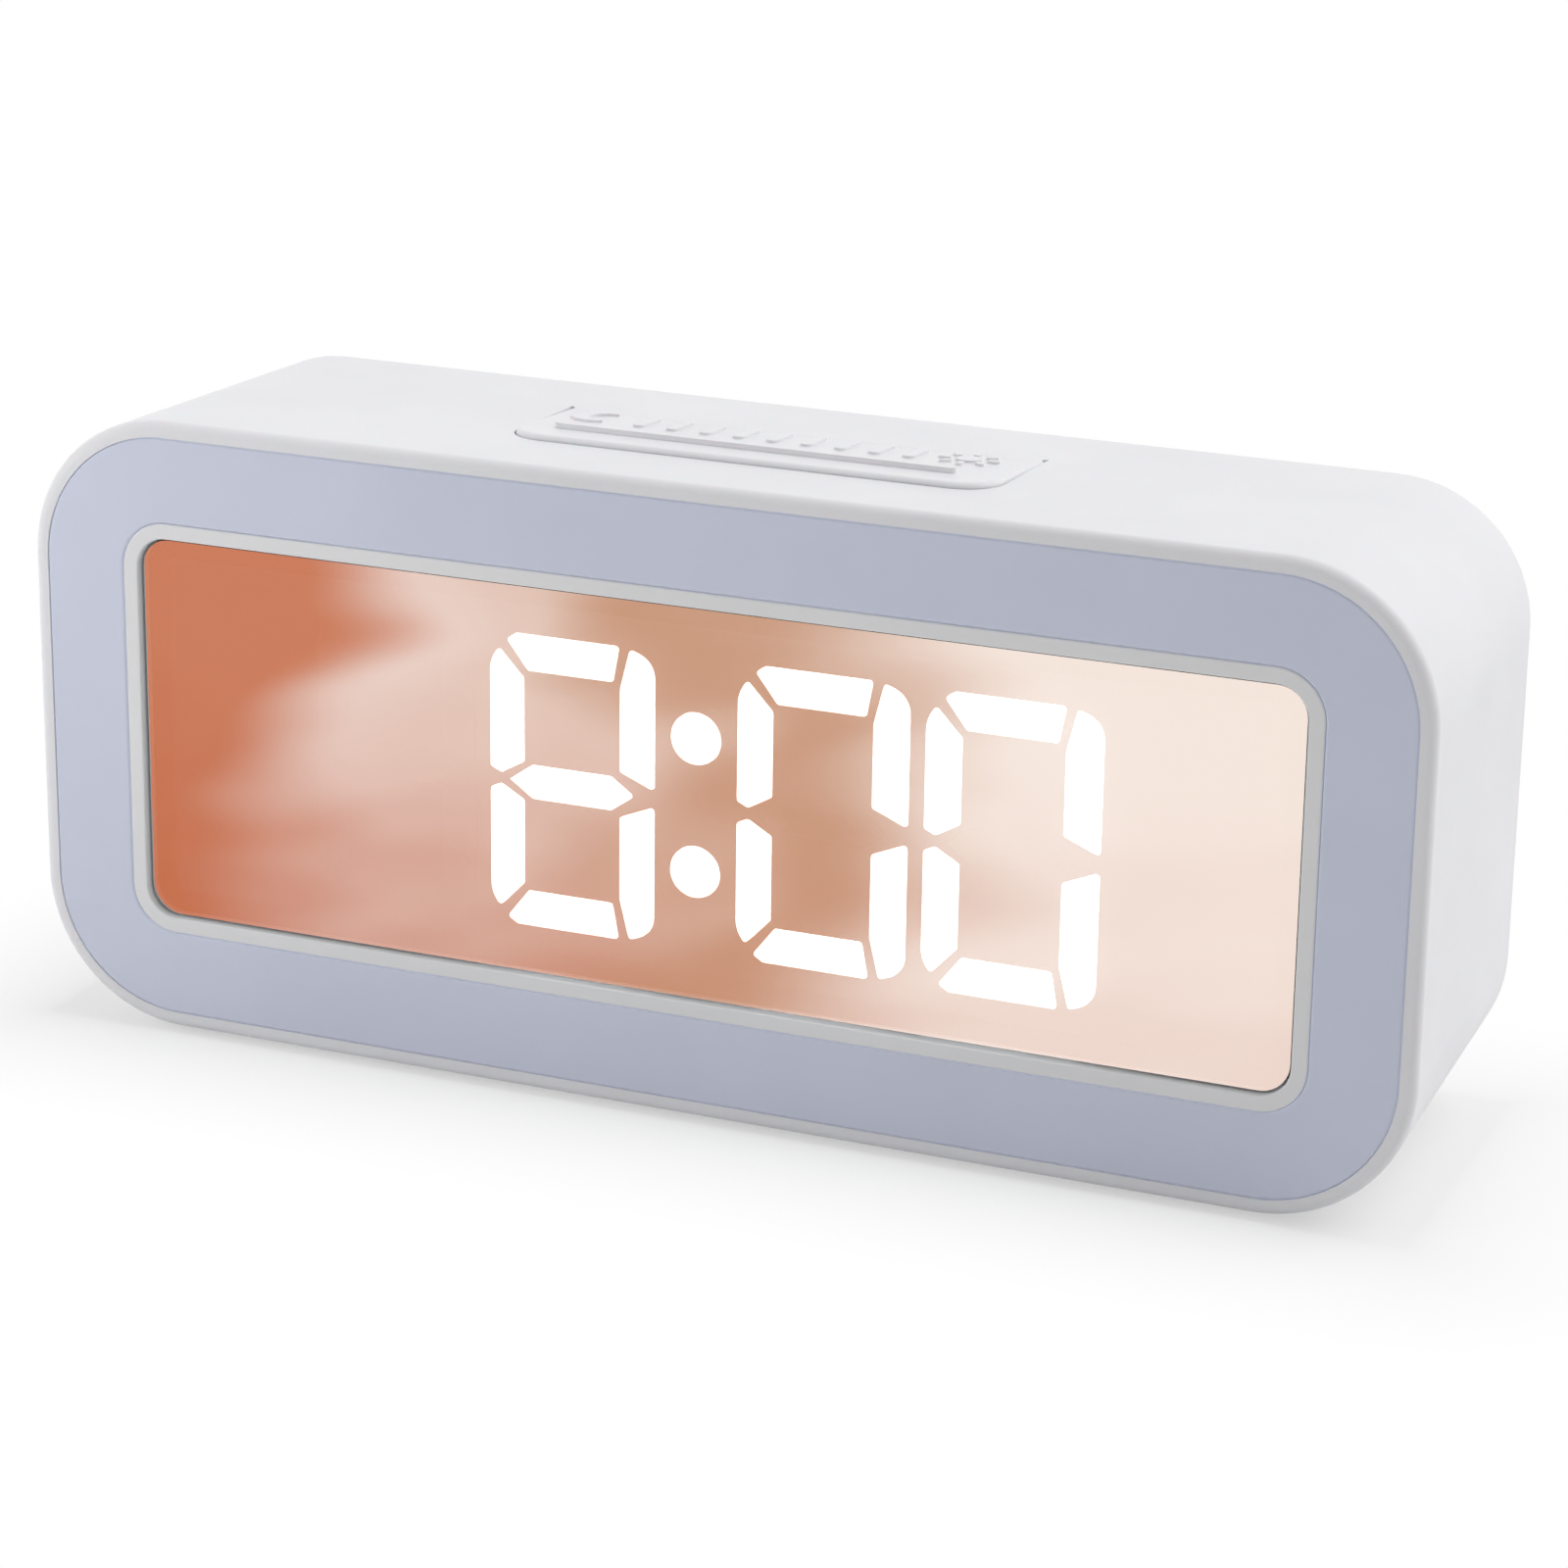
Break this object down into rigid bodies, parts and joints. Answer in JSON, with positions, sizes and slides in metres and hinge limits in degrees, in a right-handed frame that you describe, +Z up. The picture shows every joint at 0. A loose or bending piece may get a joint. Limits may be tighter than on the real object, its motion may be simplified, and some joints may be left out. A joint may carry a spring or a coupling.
{
  "type": "digital desk clock",
  "caption": "Box-shaped digital alarm clock with rounded corners, a mirror window with lit digits, a night-light ring, a snooze key on top and set buttons behind.",
  "frame": {"origin": "on the table plane, under the middle of the clock's box", "axes": "+X to the right along the width, -Y out of the front, +Z up"},
  "size_m": [0.15, 0.04, 0.0671],
  "materials": {
    "white_case": "fine satin moulding",
    "white_frame": "satin",
    "diffuser": "milky satin",
    "mirror": "half-silvered, polished",
    "display_black": "matt",
    "lit_window": "lit from behind",
    "dark_window": "unlit",
    "circuit_board": "solder mask",
    "black_resin": "moulded",
    "led_phosphor": "resin",
    "tinned_metal": "tinned",
    "spring_metal": "nickel-plated",
    "screw_steel": "zinc-plated",
    "foot_rubber": "matt",
    "button_white": "satin",
    "foam_tape": "foam",
    "cell_jacket": "printed film, plain",
    "wire_jacket": "satin",
    "ribbon_grey": "satin",
    "connector_white": "satin"
  },
  "bodies": {
    "clock_body": {"outer_case": "white_case", "light_diffuser": "diffuser", "front_frame": "white_frame", "mirror_lens": "mirror", "mirror_tape": "foam_tape", "display_reflector": "display_black", "hour_units_segments": "lit_window", "colon_dots": "lit_window", "minute_tens_segments": "lit_window", "minute_units_segments": "lit_window", "unlit_segments": "dark_window", "display_led_chips": "led_phosphor", "main_board": "circuit_board", "clock_chip": "black_resin", "clock_crystal": "tinned_metal", "filter_capacitor": "tinned_metal", "snooze_switch_body": "black_resin", "ring_light_board": "circuit_board", "ring_light_leds": "led_phosphor", "ring_light_pins": "tinned_metal", "rear_cover": "white_case", "battery_cells": "cell_jacket", "battery_plus_plates": "spring_metal", "battery_minus_springs": "spring_metal", "button_board": "circuit_board", "button_switch_bodies": "black_resin", "power_inlet_shell": "tinned_metal", "power_inlet_tongue": "black_resin", "alarm_buzzer": "black_resin", "board_ribbon": "ribbon_grey", "ribbon_connectors": "connector_white", "battery_leads": "wire_jacket", "rubber_feet": "foot_rubber", "case_screws": "screw_steel", "main_board_screws": "screw_steel", "button_board_screws": "screw_steel"},
    "snooze_key": {"snooze_light_key": "white_case"},
    "snooze_plunger": {"snooze_switch_plunger": "button_white"},
    "battery_door": {"battery_door": "white_case"},
    "mode_button": {"mode_button_cap": "button_white", "mode_switch_plunger": "black_resin"},
    "set_button": {"set_button_cap": "button_white", "set_switch_plunger": "black_resin"},
    "up_button": {"up_button_cap": "button_white", "up_switch_plunger": "black_resin"},
    "down_button": {"down_button_cap": "button_white", "down_switch_plunger": "black_resin"}
  },
  "joints": [
    {"name": "key_press", "type": "hinge", "parent": "clock_body", "child": "snooze_key", "pos_m": [0, 0.0059, 0.0649], "axis": [1, 0, 0], "range_deg": [0, 2.5], "stiffness_Nm_per_rad": 0.6},
    {"name": "snooze_plunger_slide", "type": "slide", "parent": "clock_body", "child": "snooze_plunger", "axis": [0, 0, -1], "range_m": [0, 0.0006]},
    {"name": "battery_door_hinge", "type": "hinge", "parent": "clock_body", "child": "battery_door", "pos_m": [-0.03, 0.0179, 0.05185], "axis": [1, 0, 0], "range_deg": [0, 80]},
    {"name": "mode_press", "type": "slide", "parent": "clock_body", "child": "mode_button", "axis": [0, -1, 0], "range_m": [0, 0.0005], "stiffness_N_per_m": 800},
    {"name": "set_press", "type": "slide", "parent": "clock_body", "child": "set_button", "axis": [0, -1, 0], "range_m": [0, 0.0005], "stiffness_N_per_m": 800},
    {"name": "up_press", "type": "slide", "parent": "clock_body", "child": "up_button", "axis": [0, -1, 0], "range_m": [0, 0.0005], "stiffness_N_per_m": 800},
    {"name": "down_press", "type": "slide", "parent": "clock_body", "child": "down_button", "axis": [0, -1, 0], "range_m": [0, 0.0005], "stiffness_N_per_m": 800}
  ],
  "couplings": [
    {"joint": "snooze_plunger_slide", "follows": "key_press", "m_per_rad": 0.01185}
  ]
}
